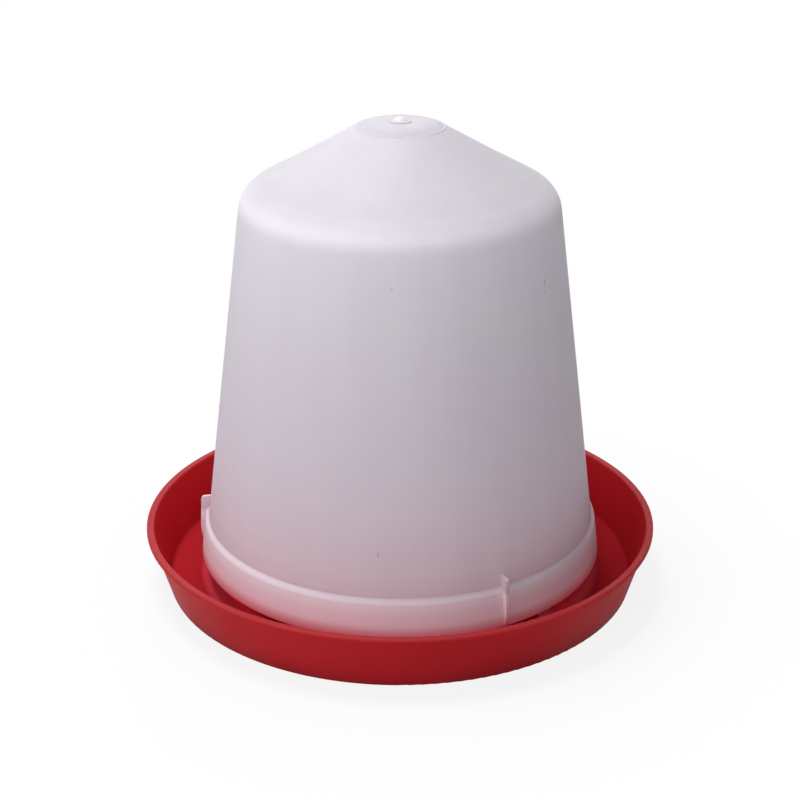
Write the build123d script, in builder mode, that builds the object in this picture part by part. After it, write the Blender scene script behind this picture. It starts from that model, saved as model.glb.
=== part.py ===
from build123d import *

import os
from math import atan2, cos, radians, sin, sqrt, tan

# Poultry drinker: a milky plastic tank that stands mouth down in a round tray.
# Lengths are millimetres and angles are degrees. Both pieces share the upright axis, the
# tray's foot stands on Z = 0 and the front looks towards -Y.

# Stations round the axis, as angles to the right of the front
station_count = 3
first_fin = 29.5
first_lug = -10.5

# Tray floor and foot
floor_height = 3.2
floor_thickness = 2.0
floor_round = 3.0
foot_width = 3.6
foot_round = 1.2
foot_inner_round = 0.4

# Tray wall and its outward lip
tray_height = 37.4
tray_wall = 2.4
tray_draft = 16.6
trough_reach = 34.0  # from the tank's mouth out to the edge of the lip
lip_overhang = 2.7
lip_depth = 2.7
lip_edge_round = 1.1
lip_under_round = 0.7

# Ribs under the tray floor
hub_radius = 60.0
hub_width = 2.4
under_rib_count = 6
under_rib_width = 2.0
under_rib_lift = 0.2  # keeps the ribs off the ground
under_gate_radius = 2.6
under_gate_depth = 0.8

# Tank shell, from its mouth upwards
mouth_radius = 126.0
tank_wall = 2.2
mouth_round = 0.9
band_height = 21.9  # straight part of the mouth band
band_draft = 7.24
step_height = 2.4
step_offset = 2.4
step_top_round = 1.2
step_bottom_round = 4.0
wall_height = 207.4  # from the step to the corner under the shoulder's rounding
wall_draft = 7.24
shoulder_round = 18.5
cone_rise = 41.3
cone_sag = 0.6
disc_radius = 21.3
disc_round = 28.0
disc_ring_radius = 26.3  # fine raised ring that bounds the disc
disc_ring_bead = 0.6
disc_ring_sunk = 0.3

# Moulding gate on the disc
gate_radius = 5.4
gate_tip_radius = 1.0
gate_height = 3.0
gate_tip_round = 0.7
gate_pad_radius = 6.6
gate_pad_height = 0.5

# Fins outside the mouth band
fin_thickness = 2.0
fin_foot_rise = 1.5
fin_waist_rise = 10.0
fin_height = 30.8
fin_slope = 0.9
fin_foot_proud = 0.3
fin_waist_proud = 1.2
fin_top_proud = 0.2
fin_corner_round = 2.2
fin_waist_round = 12.0
fin_foot_round = 1.0

# Locking lugs inside the mouth band
lug_arc = 17.4
lug_reach = 6.1
lug_thickness = 4.0
lug_round = 0.8
lug_rise = 3.4  # underside of the lugs above the rim of the mouth

# Collar of the tray, with the hooks and the ribs that carry the lugs
seat_height = 17.0  # top of the ribs above the tray floor
seat_gap = 0.3
twist_gap = 1.0
collar_wall = 2.2
collar_height = 28.3
collar_round = 0.8
hook_thickness = 3.4
hook_round = 0.7
stop_arc = 2.0
stop_gap = 0.2
twist_travel = 22.0
seat_rib_count = 5
seat_rib_width = 2.0
seat_rib_inset = 3.7  # from the end of a lug, locked or open, to the rib under it
notch_width = 16.0
notch_height = 10.8
notch_round = 2.0


# Places that follow from the sizes
station_pitch = 360 / station_count
fin_angles = [first_fin + station_pitch * number for number in range(station_count)]
lug_angles = [first_lug + station_pitch * number for number in range(station_count)]

seat_z = floor_height + seat_height
lug_z = seat_z + seat_gap
mouth_z = lug_z - lug_rise
band_top_z = mouth_z + band_height
step_top_z = band_top_z + step_height
corner_z = step_top_z + wall_height
disc_z = corner_z + cone_rise
hook_z = lug_z + lug_thickness + seat_gap
hook_top_z = hook_z + hook_thickness
underside_z = floor_height - floor_thickness
lip_z = tray_height - lip_depth

band_top_radius = mouth_radius - band_height * tan(radians(band_draft))
step_top_radius = band_top_radius - step_offset
corner_radius = step_top_radius - wall_height * tan(radians(wall_draft))
lip_radius = mouth_radius + trough_reach


def band_radius(height):
    return mouth_radius - (height - mouth_z) * tan(radians(band_draft))


def tank_wall_radius(height):
    return step_top_radius - (height - step_top_z) * tan(radians(wall_draft))


def tray_wall_radius(height):
    return lip_radius - lip_overhang - (lip_z - height) * tan(radians(tray_draft))


def upright_plane(angle):
    turned = radians(angle - 90)
    outward = (cos(turned), sin(turned), 0)
    across = (sin(turned), -cos(turned), 0)
    return Plane(origin=(0, 0, 0), x_dir=outward, z_dir=across)


def facing_plane(angle, distance):
    turned = radians(angle - 90)
    outward = (cos(turned), sin(turned), 0)
    start = (distance * cos(turned), distance * sin(turned), 0)
    return Plane(origin=start, x_dir=(-sin(turned), cos(turned), 0), z_dir=outward)


band_skin = tank_wall / cos(radians(band_draft))
lug_outer_radius = band_radius(lug_z) - band_skin / 2
lug_inner_radius = band_radius(lug_z) - band_skin - lug_reach
collar_radius = lug_inner_radius - twist_gap
hook_radius = band_radius(hook_top_z) - band_skin - twist_gap
inner_skin = tray_wall / cos(radians(tray_draft))


# Tank: the shell is a thin wall turned round the axis
cone_middle = ((disc_radius + corner_radius) / 2, (disc_z + corner_z) / 2 - cone_sag)
cone_round = 8 * (corner_radius - disc_radius)
shell_points = [
    (0, disc_z),
    (disc_radius, disc_z),
    cone_middle,
    (corner_radius, corner_z),
    (step_top_radius, step_top_z),
    (band_top_radius, band_top_z),
    (mouth_radius, mouth_z),
]
shell_rounds = [disc_round, cone_round, shoulder_round, step_top_round, step_bottom_round]

# Height of the crown's rounding where the fine ring runs
cone_slope = atan2(disc_z - cone_middle[1], cone_middle[0] - disc_radius)
crown_radius = disc_radius - disc_round * tan(cone_slope / 2)
crown_drop = disc_round - sqrt(disc_round ** 2 - (disc_ring_radius - crown_radius) ** 2)
disc_ring_z = disc_z - crown_drop - disc_ring_sunk

# Fins: their roots run inside the shell's wall, from the top down to the foot
fin_top_z = mouth_z + fin_height
fin_waist_z = mouth_z + fin_waist_rise
fin_foot_z = mouth_z + fin_foot_rise
fin_points = [
    (tank_wall_radius(fin_top_z) - tank_wall / 2, fin_top_z + fin_slope),
    (mouth_radius + fin_top_proud, fin_top_z),
    (mouth_radius + fin_waist_proud, fin_waist_z),
    (mouth_radius + fin_foot_proud, fin_foot_z),
    (band_radius(fin_foot_z) - tank_wall / 2, fin_foot_z),
    (band_top_radius - tank_wall / 2, band_top_z),
    (step_top_radius - tank_wall / 2, step_top_z),
]
fin_rounds = [0, fin_corner_round, fin_waist_round, fin_foot_round, 0, 0, 0]

# Lugs: flat underneath, where they stand on the tray, and flat on top, under the hooks
lug_points = [
    (lug_outer_radius, lug_z),
    (lug_inner_radius, lug_z),
    (lug_inner_radius, lug_z + lug_thickness),
    (lug_outer_radius, lug_z + lug_thickness),
]
lug_rounds = [0, lug_round, lug_round, 0]

with BuildPart() as tank:
    with BuildSketch(Plane.XZ):
        with BuildLine():
            FilletPolyline(*shell_points, radius=shell_rounds)
            offset(amount=tank_wall, side=Side.RIGHT)
        make_face()
        fillet(vertices().sort_by(Axis.Y)[:2], mouth_round)
        with Locations((disc_ring_radius, disc_ring_z)):
            Circle(disc_ring_bead)
    revolve(axis=Axis.Z)

    for angle in fin_angles:
        with BuildSketch(upright_plane(angle)):
            with BuildLine():
                FilletPolyline(*fin_points, radius=fin_rounds, close=True)
            make_face()
        extrude(amount=fin_thickness / 2, both=True)

    for angle in lug_angles:
        with BuildSketch(upright_plane(angle - lug_arc / 2)):
            with BuildLine():
                FilletPolyline(*lug_points, radius=lug_rounds, close=True)
            make_face()
        revolve(axis=Axis.Z, revolution_arc=lug_arc)

    # The stub that the moulding gate leaves stands on a low round pad
    with BuildSketch(Plane.XY.offset(disc_z)):
        Circle(gate_pad_radius)
    extrude(amount=gate_pad_height)
    with BuildSketch(Plane.XY.offset(disc_z)):
        Circle(gate_radius)
    with BuildSketch(Plane.XY.offset(disc_z + gate_height)):
        Circle(gate_tip_radius)
    loft()
    fillet(edges().sort_by(Axis.Z)[-1], gate_tip_round)


# Tray: floor, leaning wall, lip and foot ring are one turned section
foot_inner_radius = tray_wall_radius(0) - foot_width
tray_points = [
    (0, floor_height),
    (tray_wall_radius(floor_height) - inner_skin, floor_height),
    (tray_wall_radius(tray_height) - inner_skin, tray_height),
    (lip_radius, tray_height),
    (lip_radius, lip_z),
    (tray_wall_radius(lip_z), lip_z),
    (tray_wall_radius(0), 0),
    (foot_inner_radius, 0),
    (foot_inner_radius, underside_z),
    (0, underside_z),
]
tray_rounds = [
    0,
    floor_round,
    lip_edge_round,
    lip_edge_round,
    lip_under_round,
    lip_under_round,
    foot_round,
    foot_inner_round,
    foot_inner_round,
    0,
]

# Hooks, stops and ribs grow out of the middle of the collar's wall and of the floor
collar_top_z = floor_height + collar_height
root_radius = collar_radius - collar_wall / 2
root_z = floor_height - floor_thickness / 2
stop_top_z = hook_z + hook_thickness / 2
hook_points = [
    (root_radius, hook_z),
    (hook_radius, hook_z),
    (hook_radius, hook_top_z),
    (root_radius, hook_top_z),
]
stop_points = [
    (root_radius, root_z),
    (hook_radius, root_z),
    (hook_radius, stop_top_z),
    (root_radius, stop_top_z),
]
rib_points = [
    (root_radius, root_z),
    (hook_radius, root_z),
    (hook_radius, seat_z),
    (root_radius, seat_z),
]
first_rib = seat_rib_inset - lug_arc / 2
rib_pitch = (lug_arc + twist_travel - 2 * seat_rib_inset) / (seat_rib_count - 1)
hook_rounds = [0, 0, hook_round, 0]
stop_start = lug_arc / 2 + stop_gap + stop_arc
hook_arc = stop_start + lug_arc / 2

with BuildPart() as tray:
    with BuildSketch(Plane.XZ):
        with BuildLine():
            FilletPolyline(*tray_points, radius=tray_rounds, close=True)
        make_face()
    revolve(axis=Axis.Z)

    # Collar with a rounded top
    with BuildSketch(Plane.XY.offset(root_z)):
        Circle(collar_radius)
        Circle(collar_radius - collar_wall, mode=Mode.SUBTRACT)
    extrude(amount=collar_top_z - root_z)
    collar_rims = edges().filter_by_position(Axis.Z, collar_top_z, collar_top_z)
    fillet(collar_rims, collar_round)

    # Water notches halfway between the stations, open at the floor
    for angle in lug_angles:
        side = facing_plane(angle + station_pitch / 2, collar_radius - 2 * collar_wall)
        with BuildSketch(side):
            with Locations((0, floor_height + notch_height / 2)):
                Rectangle(notch_width, notch_height)
            fillet(vertices().group_by(Axis.Y)[-1], notch_round)
        extrude(amount=3 * collar_wall, mode=Mode.SUBTRACT)

    for angle in lug_angles:
        with BuildSketch(upright_plane(angle - stop_start)):
            with BuildLine():
                FilletPolyline(*hook_points, radius=hook_rounds, close=True)
            make_face()
        revolve(axis=Axis.Z, revolution_arc=hook_arc)

        # Stop that the lug meets when the tank is locked
        with BuildSketch(upright_plane(angle - stop_start)):
            with BuildLine():
                Polyline(*stop_points, close=True)
            make_face()
        revolve(axis=Axis.Z, revolution_arc=stop_arc)

        # Upright ribs that the lug slides on between locked and open
        for number in range(seat_rib_count):
            with BuildSketch(upright_plane(angle + first_rib + rib_pitch * number)):
                with BuildLine():
                    Polyline(*rib_points, close=True)
                make_face()
            extrude(amount=seat_rib_width / 2, both=True)

    # Ribs and gate mark under the floor
    with BuildSketch(Plane.XY.offset(under_rib_lift)):
        Circle(hub_radius)
        Circle(hub_radius - hub_width, mode=Mode.SUBTRACT)
        with PolarLocations((hub_radius + foot_inner_radius) / 2, under_rib_count):
            Rectangle(foot_inner_radius - hub_radius + hub_width, under_rib_width)
    extrude(amount=root_z - under_rib_lift)
    with BuildSketch(Plane.XY.offset(underside_z - under_gate_depth)):
        Circle(under_gate_radius)
    extrude(amount=root_z - underside_z + under_gate_depth)


os.makedirs("parts", exist_ok=True)
tank.part.label = "tank"
export_step(tank.part, "parts/tank.step")
tray.part.label = "tray"
export_step(tray.part, "parts/tray.step")
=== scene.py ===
import math
import bpy
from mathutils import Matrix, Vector

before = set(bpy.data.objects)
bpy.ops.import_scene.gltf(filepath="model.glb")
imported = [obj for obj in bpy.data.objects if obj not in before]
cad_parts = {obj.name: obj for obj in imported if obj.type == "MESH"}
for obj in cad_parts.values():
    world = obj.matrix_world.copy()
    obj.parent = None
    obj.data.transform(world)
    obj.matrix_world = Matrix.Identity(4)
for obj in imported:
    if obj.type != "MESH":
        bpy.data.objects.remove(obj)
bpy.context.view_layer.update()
print("frame loaded")


# Small helpers for node materials

def newMaterial(name):
    material = bpy.data.materials.new(name)
    material.use_nodes = True
    material.node_tree.nodes.clear()
    return material


def addNode(material, kind, inputs=None, **settings):
    node = material.node_tree.nodes.new(kind)
    for key, value in settings.items():
        setattr(node, key, value)
    for key, value in (inputs or {}).items():
        socket = node.inputs[key]
        if isinstance(value, bpy.types.NodeSocket):
            material.node_tree.links.new(value, socket)
        else:
            socket.default_value = value
    return node


def dress(node, material):
    slots = node.data.materials
    slots.clear()
    slots.append(material)


def math2(material, operation, first, second=0.0):
    node = addNode(material, "ShaderNodeMath", {0: first, 1: second}, operation=operation)
    return node.outputs[0]


def ramp(material, value, low, high, out0=0.0, out1=1.0):
    # Smooth step from out0 to out1 while value goes from low to high
    node = addNode(material, "ShaderNodeMapRange", {
        "Value": value, "From Min": low, "From Max": high, "To Min": out0, "To Max": out1,
    }, interpolation_type="SMOOTHSTEP")
    return node.outputs["Result"]


def mixColor(material, factor, first, second, blend="MIX"):
    node = addNode(material, "ShaderNodeMix", {0: factor, 6: first, 7: second},
                   data_type="RGBA", blend_type=blend)
    return node.outputs[2]


def multiplyColor(material, factor, first, second):
    return mixColor(material, factor, first, second, "MULTIPLY")


def noise(material, coordinates, scale, stretch=(1, 1, 1), detail=3.0, rough=0.5):
    mapping = addNode(material, "ShaderNodeMapping", {"Vector": coordinates, "Scale": stretch})
    node = addNode(material, "ShaderNodeTexNoise", {
        "Vector": mapping.outputs[0], "Scale": scale, "Detail": detail, "Roughness": rough,
    })
    return node.outputs["Fac"]


def radiusAndHeight(material, where):
    # Distance from the upright axis, and height
    split = addNode(material, "ShaderNodeSeparateXYZ", {0: where})
    flat = addNode(material, "ShaderNodeCombineXYZ", {0: split.outputs[0], 1: split.outputs[1]})
    length = addNode(material, "ShaderNodeVectorMath", {0: flat.outputs[0]}, operation="LENGTH")
    return length.outputs["Value"], split.outputs[2]


# Tank

tankLook = {
    # Colour of the milky plastic by height in metres, with painted light and shade: a painted red
    # reflection of the tray low down, painted highlights at the ledge and the shoulder with
    # painted shade beside them, and the body painted lighter towards the top
    "tintAndPaintedLight": [
        (0.018, (0.91, 0.26, 0.34, 1)),
        (0.0215, (0.95, 0.47, 0.55, 1)),
        (0.0245, (0.95, 0.69, 0.77, 1)),
        (0.031, (0.93, 0.71, 0.79, 1)),
        (0.037, (0.97, 0.85, 0.92, 1)),
        (0.041, (0.72, 0.60, 0.66, 1)),
        (0.044, (0.82, 0.66, 0.73, 1)),
        (0.055, (0.87, 0.74, 0.80, 1)),
        (0.075, (0.83, 0.72, 0.79, 1)),
        (0.130, (0.81, 0.76, 0.82, 1)),
        (0.186, (0.85, 0.81, 0.86, 1)),
        (0.238, (0.90, 0.88, 0.92, 1)),
        (0.245, (0.97, 0.95, 0.99, 1)),
        (0.2485, (0.92, 0.90, 0.94, 1)),
        (0.252, (0.83, 0.80, 0.85, 1)),
        (0.256, (0.79, 0.77, 0.81, 1)),
        (0.264, (0.81, 0.79, 0.83, 1)),
        (0.277, (0.82, 0.79, 0.84, 1)),
    ],
    "discShade": (0.90, 0.90, 0.91, 1),
    "discEdge": (0.0265, 0.0250),  # radii between which the disc's shade sets in
    # Painted highlight: the gate stub near the axis is painted nearly white
    "stubColor": (1.0, 0.99, 1.0, 1),
    "stubHighlightEdge": (0.0062, 0.0022),
    "streakColor": (0.985, 0.98, 0.985, 1),
    "streakScale": 55,
    "cloudScale": 22,
    "grainScale": 900,
    "markShade": (0.45, 0.42, 0.45, 1),
    "markStrength": 0.55,
    "glow": 0.40,  # share of the light that the plastic lets through
    "bandGlow": 0.15,
    "bandEdge": (0.060, 0.035),  # heights between which the band's share sets in
    "roughness": 0.50,
    "specular": 0.13,
    "bump": 0.06,
    "bumpDepth": 0.0006,
}

# Scuffs on the wall: place, then half widths across and upwards, in metres
scuffs = [
    ((0.0826, -0.0555, 0.2105), 0.0009, 0.0030),
    ((0.0827, -0.0562, 0.2045), 0.0007, 0.0018),
    ((-0.0045, -0.0979, 0.2205), 0.0008, 0.0008),
    ((-0.0125, -0.1168, 0.0680), 0.0006, 0.0028),
    ((-0.0983, -0.0575, 0.0961), 0.0008, 0.0009),
]


def heightRamp(material, height, stops):
    top = 0.3
    node = addNode(material, "ShaderNodeValToRGB", {
        0: math2(material, "DIVIDE", height, top),
    })
    elements = node.color_ramp.elements
    while len(elements) < len(stops):
        elements.new(1.0)
    for element, (place, color) in zip(elements, stops):
        element.position = place / top
        element.color = color
    return node.outputs["Color"]


def scuffMask(material, where, place, across, upwards):
    # 1 in the middle of a small upright ellipse, 0 outside it
    offset = addNode(material, "ShaderNodeVectorMath", {0: where, 1: place}, operation="SUBTRACT")
    scaled = addNode(material, "ShaderNodeVectorMath", {
        0: offset.outputs[0], 1: (across, across, upwards),
    }, operation="DIVIDE")
    length = addNode(material, "ShaderNodeVectorMath", {0: scaled.outputs[0]}, operation="LENGTH")
    return ramp(material, length.outputs["Value"], 1.2, 0.3)


def tankMaterial():
    m = newMaterial("milkyPlastic")
    where = addNode(m, "ShaderNodeTexCoord").outputs["Object"]
    radius, height = radiusAndHeight(m, where)

    streaks = noise(m, where, tankLook["streakScale"], (1, 1, 0.05), 4)
    clouds = noise(m, where, tankLook["cloudScale"], (1, 1, 0.7), 3)
    grain = noise(m, where, tankLook["grainScale"], (1, 1, 1), 2)

    # Painted light and shade by height from the table above, over the plastic's own colour
    shade = heightRamp(m, height, tankLook["tintAndPaintedLight"])
    streakShade = mixColor(m, ramp(m, streaks, 0.35, 0.7), (1, 1, 1, 1), tankLook["streakColor"])
    shade = multiplyColor(m, 1.0, shade, streakShade)
    shade = multiplyColor(m, ramp(m, radius, *tankLook["discEdge"]), shade, tankLook["discShade"])
    # Painted highlight on the gate stub near the axis
    shade = mixColor(m, ramp(m, radius, *tankLook["stubHighlightEdge"]), shade, tankLook["stubColor"])
    for place, across, upwards in scuffs:
        mask = scuffMask(m, where, place, across, upwards)
        mask = math2(m, "MULTIPLY", mask, tankLook["markStrength"])
        shade = mixColor(m, mask, shade, tankLook["markShade"])

    rough = ramp(m, clouds, 0.3, 0.7, tankLook["roughness"] - 0.05, tankLook["roughness"] + 0.06)
    relief = math2(m, "ADD", math2(m, "MULTIPLY", streaks, 0.5), math2(m, "MULTIPLY", grain, 0.25))
    bump = addNode(m, "ShaderNodeBump", {
        "Height": relief, "Strength": tankLook["bump"], "Distance": tankLook["bumpDepth"],
    }).outputs[0]
    skin = addNode(m, "ShaderNodeBsdfPrincipled", {
        "Base Color": shade, "Roughness": rough, "Normal": bump, "IOR": 1.5,
        "Specular IOR Level": tankLook["specular"],
    }).outputs[0]
    glow = addNode(m, "ShaderNodeBsdfTranslucent", {"Color": shade}).outputs[0]
    share = ramp(m, height, *tankLook["bandEdge"], tankLook["glow"], tankLook["bandGlow"])
    both = addNode(m, "ShaderNodeMixShader", {0: share, 1: skin, 2: glow}).outputs[0]
    addNode(m, "ShaderNodeOutputMaterial", {0: both})
    return m


dress(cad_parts["tank"], tankMaterial())
print("tank dressed")


# Tray

trayLook = {
    "color": (0.46, 0.020, 0.029, 1),
    "patchColor": (0.40, 0.017, 0.025, 1),
    # Painted highlight: the lip's top is a lighter red
    "lipPaintedHighlight": (0.45, 0.050, 0.056, 1),
    # Painted shade: the floor inside the wall is a darker red
    "floorPaintedShade": (0.38, 0.014, 0.021, 1),
    "mouthPaintedLight": (0.95, 0.08, 0.12, 1),  # painted pool of red light on the floor under the tank's mouth
    "glow": 0.45,
    "floorGlow": 0.10,
    "glowColor": (0.82, 0.022, 0.034, 1),
    "roughness": 0.42,
    "specular": 0.09,
    "floorSpecular": 0.0,
    "bump": 0.10,
    "bumpDepth": 0.0004,
    "cloudScale": 18,
    "grainScale": 700,
    "lipHighlightEdge": (0.0353, 0.0372),  # heights between which the lip's painted highlight sets in
    "floorOver": (0.0095, 0.0060),
    "floorUnder": (0.0020, 0.0028),
    "floorReach": (0.1464, 0.1452),  # radii at the foot of the wall
    "mouthLightReach": (0.1285, 0.1215),
}


def trayMaterial():
    m = newMaterial("redPlastic")
    where = addNode(m, "ShaderNodeTexCoord").outputs["Object"]
    radius, height = radiusAndHeight(m, where)
    clouds = noise(m, where, trayLook["cloudScale"], (1, 1, 1), 4)
    grain = noise(m, where, trayLook["grainScale"], (1, 1, 1), 2)
    base = mixColor(m, ramp(m, clouds, 0.35, 0.7), trayLook["color"], trayLook["patchColor"])
    # Painted highlight on the lip's top
    base = mixColor(m, ramp(m, height, *trayLook["lipHighlightEdge"]), base, trayLook["lipPaintedHighlight"])
    # Upper face of the floor, inside the wall
    low = ramp(m, height, *trayLook["floorOver"])
    low = math2(m, "MULTIPLY", low, ramp(m, radius, *trayLook["floorReach"]))
    low = math2(m, "MULTIPLY", low, ramp(m, height, *trayLook["floorUnder"]))
    # Painted light: a pool of red light on the floor under the tank's mouth
    paintedLightUnderMouth = ramp(m, radius, *trayLook["mouthLightReach"])
    # Floor colour with painted shade, lightened to a painted pool of red light under the mouth
    floorPaintedLightAndShade = mixColor(m, paintedLightUnderMouth, trayLook["floorPaintedShade"], trayLook["mouthPaintedLight"])
    base = mixColor(m, low, base, floorPaintedLightAndShade)
    rough = ramp(m, clouds, 0.3, 0.7, trayLook["roughness"] - 0.05, trayLook["roughness"] + 0.07)
    bump = addNode(m, "ShaderNodeBump", {
        "Height": grain, "Strength": trayLook["bump"], "Distance": trayLook["bumpDepth"],
    }).outputs[0]
    skin = addNode(m, "ShaderNodeBsdfPrincipled", {
        "Base Color": base, "Roughness": rough, "Normal": bump, "IOR": 1.5,
        "Specular IOR Level": ramp(m, low, 0, 1, trayLook["specular"], trayLook["floorSpecular"]),
    }).outputs[0]
    glow = addNode(m, "ShaderNodeBsdfTranslucent", {"Color": trayLook["glowColor"]}).outputs[0]
    share = ramp(m, low, 0, 1, trayLook["glow"], trayLook["floorGlow"])
    both = addNode(m, "ShaderNodeMixShader", {0: share, 1: skin, 2: glow}).outputs[0]
    addNode(m, "ShaderNodeOutputMaterial", {0: both})
    return m


dress(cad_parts["tray"], trayMaterial())
print("tray dressed")


# Floor, light and camera

def whiteShare(owner):
    # 1 for rays that show the background: from the camera, or off and through shiny surfaces
    rays = addNode(owner, "ShaderNodeLightPath").outputs
    seen = math2(owner, "MAXIMUM", rays["Is Camera Ray"], rays["Is Glossy Ray"])
    seen = math2(owner, "MAXIMUM", seen, rays["Is Transmission Ray"])
    return math2(owner, "MULTIPLY", seen, math2(owner, "SUBTRACT", 1.0, rays["Is Diffuse Ray"]))


floorLook = {
    "color": (0.75, 0.75, 0.75, 1),
    "clean": 0.86,  # share of white close to the object; the rest takes the shadow
    "shadowReach": (0.17, 0.30),
    "size": 12,
    "height": -0.0004,
}


def floorMaterial():
    # Pale floor, seen as clean white with a faint shadow close to the object
    m = newMaterial("paleFloor")
    where = addNode(m, "ShaderNodeTexCoord").outputs["Object"]
    radius = radiusAndHeight(m, where)[0]
    skin = addNode(m, "ShaderNodeBsdfDiffuse", {"Color": floorLook["color"]}).outputs[0]
    white = addNode(m, "ShaderNodeEmission", {"Color": (1, 1, 1, 1), "Strength": 1.0}).outputs[0]
    clean = ramp(m, radius, *floorLook["shadowReach"], floorLook["clean"], 1.0)
    share = math2(m, "MULTIPLY", whiteShare(m), clean)
    both = addNode(m, "ShaderNodeMixShader", {0: share, 1: skin, 2: white}).outputs[0]
    addNode(m, "ShaderNodeOutputMaterial", {0: both})
    return m


bpy.ops.mesh.primitive_plane_add(size=floorLook["size"], location=(0, 0, floorLook["height"]))
floor = bpy.context.object
floor.name = "floor"
dress(floor, floorMaterial())

roomLook = {"color": (0.95, 0.97, 1.0, 1), "strength": 0.24}

world = bpy.data.worlds.new("studio")
bpy.context.scene.world = world
world.use_nodes = True
world.node_tree.nodes.clear()
soft = addNode(world, "ShaderNodeBackground", {
    0: roomLook["color"], 1: roomLook["strength"],
}).outputs[0]
white = addNode(world, "ShaderNodeBackground", {0: (1, 1, 1, 1), 1: 1.0}).outputs[0]
blend = addNode(world, "ShaderNodeMixShader", {0: whiteShare(world), 1: soft, 2: white}).outputs[0]
addNode(world, "ShaderNodeOutputWorld", {0: blend})


lamps = {
    "topLight": {"place": (-0.4, 0.2, 1.9), "size": 0.8, "power": 27},
    "backLight": {"place": (0, 1.6, 1.2), "size": 1.0, "power": 10},
    "leftLight": {"place": (-1.3, -1.0, 0.9), "size": 1.0, "power": 9},
    "frontLight": {"place": (0, -1.8, 1.0), "size": 1.0, "power": 8.5},
}
lampTarget = Vector((0, 0, 0.15))


def areaLight(name, place, size, power):
    data = bpy.data.lights.new(name, "AREA")
    data.shape = "DISK"
    data.size = size
    data.energy = power
    lamp = bpy.data.objects.new(name, data)
    bpy.context.scene.collection.objects.link(lamp)
    lamp.location = place
    lamp.rotation_euler = (lampTarget - Vector(place)).to_track_quat("-Z", "Y").to_euler()


for name, lamp in lamps.items():
    areaLight(name, **lamp)
print("light placed")

# The photo's angle
view = {"place": (0, -1.0, 0.53308), "tilt": 67.2864, "lens": 78.664, "sensor": 36}

cameraData = bpy.data.cameras.new("camera")
cameraData.lens = view["lens"]
cameraData.sensor_width = view["sensor"]
camera = bpy.data.objects.new("camera", cameraData)
bpy.context.scene.collection.objects.link(camera)
camera.location = view["place"]
camera.rotation_euler = (math.radians(view["tilt"]), 0, 0)
bpy.context.scene.camera = camera
bpy.context.scene.view_settings.view_transform = "Standard"
print("camera placed")
